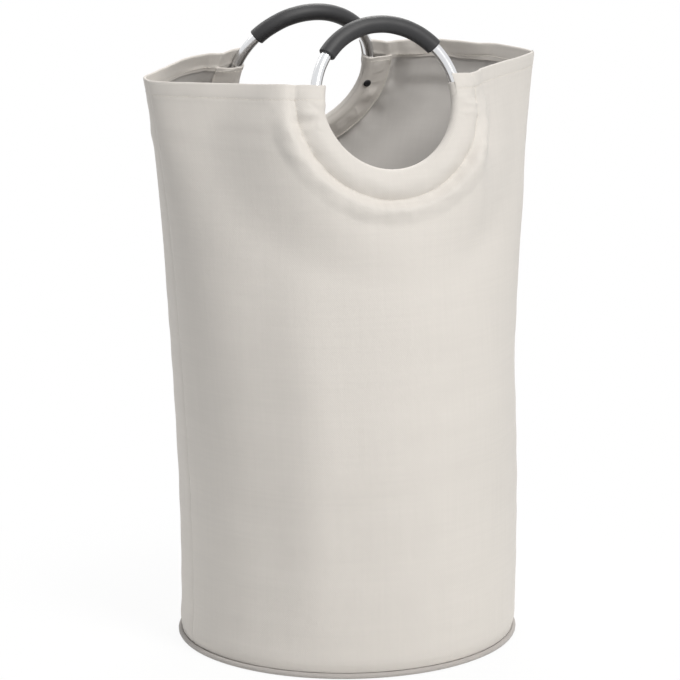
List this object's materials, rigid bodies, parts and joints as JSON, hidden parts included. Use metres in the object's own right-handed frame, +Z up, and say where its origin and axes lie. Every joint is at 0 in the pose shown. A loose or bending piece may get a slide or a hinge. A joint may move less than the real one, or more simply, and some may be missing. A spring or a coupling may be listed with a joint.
{
  "type": "pop up laundry hamper",
  "caption": "Tall free-standing cloth laundry hamper on a stiff round base, with ring handles of bent tube that lean together over its open top.",
  "frame": {"origin": "middle of the underside of the round base, on the floor", "axes": "+Z up, +X through the right side seam, -Y towards the front handle"},
  "size_m": [0.4684, 0.3864, 0.7167],
  "materials": {
    "coated_cloth": "matt woven polyester with a coated back, warm off-white",
    "tape_cloth": "matt woven tape",
    "piping_cloth": "matt woven bias strip, warm grey",
    "cord_fibre": "soft twisted fibre",
    "board_plastic": "extruded sheet",
    "ring_metal": "satin anodised",
    "grip_foam": "matt closed-cell foam",
    "black_plastic": "satin moulded"
  },
  "bodies": {
    "base": {"base_cloth": "coated_cloth", "base_board": "board_plastic", "base_lining": "coated_cloth", "base_seam_tape": "tape_cloth", "piping_cover": "piping_cloth", "piping_cord": "cord_fibre", "front_panel": "coated_cloth", "back_panel": "coated_cloth", "left_seam_tape": "tape_cloth", "right_seam_tape": "tape_cloth"},
    "rim": {"left_rim_band": "coated_cloth", "right_rim_band": "coated_cloth"},
    "front_handle": {"front_handle_casing": "coated_cloth", "front_ring_tube": "ring_metal", "front_ring_joiner": "black_plastic", "front_grip": "grip_foam", "front_left_rivet": "black_plastic", "front_right_rivet": "black_plastic"},
    "back_handle": {"back_handle_casing": "coated_cloth", "back_ring_tube": "ring_metal", "back_ring_joiner": "black_plastic", "back_grip": "grip_foam", "back_left_rivet": "black_plastic", "back_right_rivet": "black_plastic"}
  },
  "joints": [
    {"name": "wall_collapse", "type": "slide", "parent": "base", "child": "rim", "axis": [0, 0, -1], "range_m": [0, 0.38], "deforming": ["front_panel", "back_panel", "left_seam_tape", "right_seam_tape"]},
    {"name": "front_handle_tilt", "type": "hinge", "parent": "rim", "child": "front_handle", "pos_m": [0, -0.15464, 0.52496], "axis": [-1, 0, 0], "range_deg": [-24, 30], "stiffness_Nm_per_rad": 0.6, "springref_deg": -3.29},
    {"name": "back_handle_tilt", "type": "hinge", "parent": "rim", "child": "back_handle", "pos_m": [0, 0.16782, 0.52593], "axis": [1, 0, 0], "range_deg": [-31, 29], "stiffness_Nm_per_rad": 0.6, "springref_deg": -4.58}
  ]
}
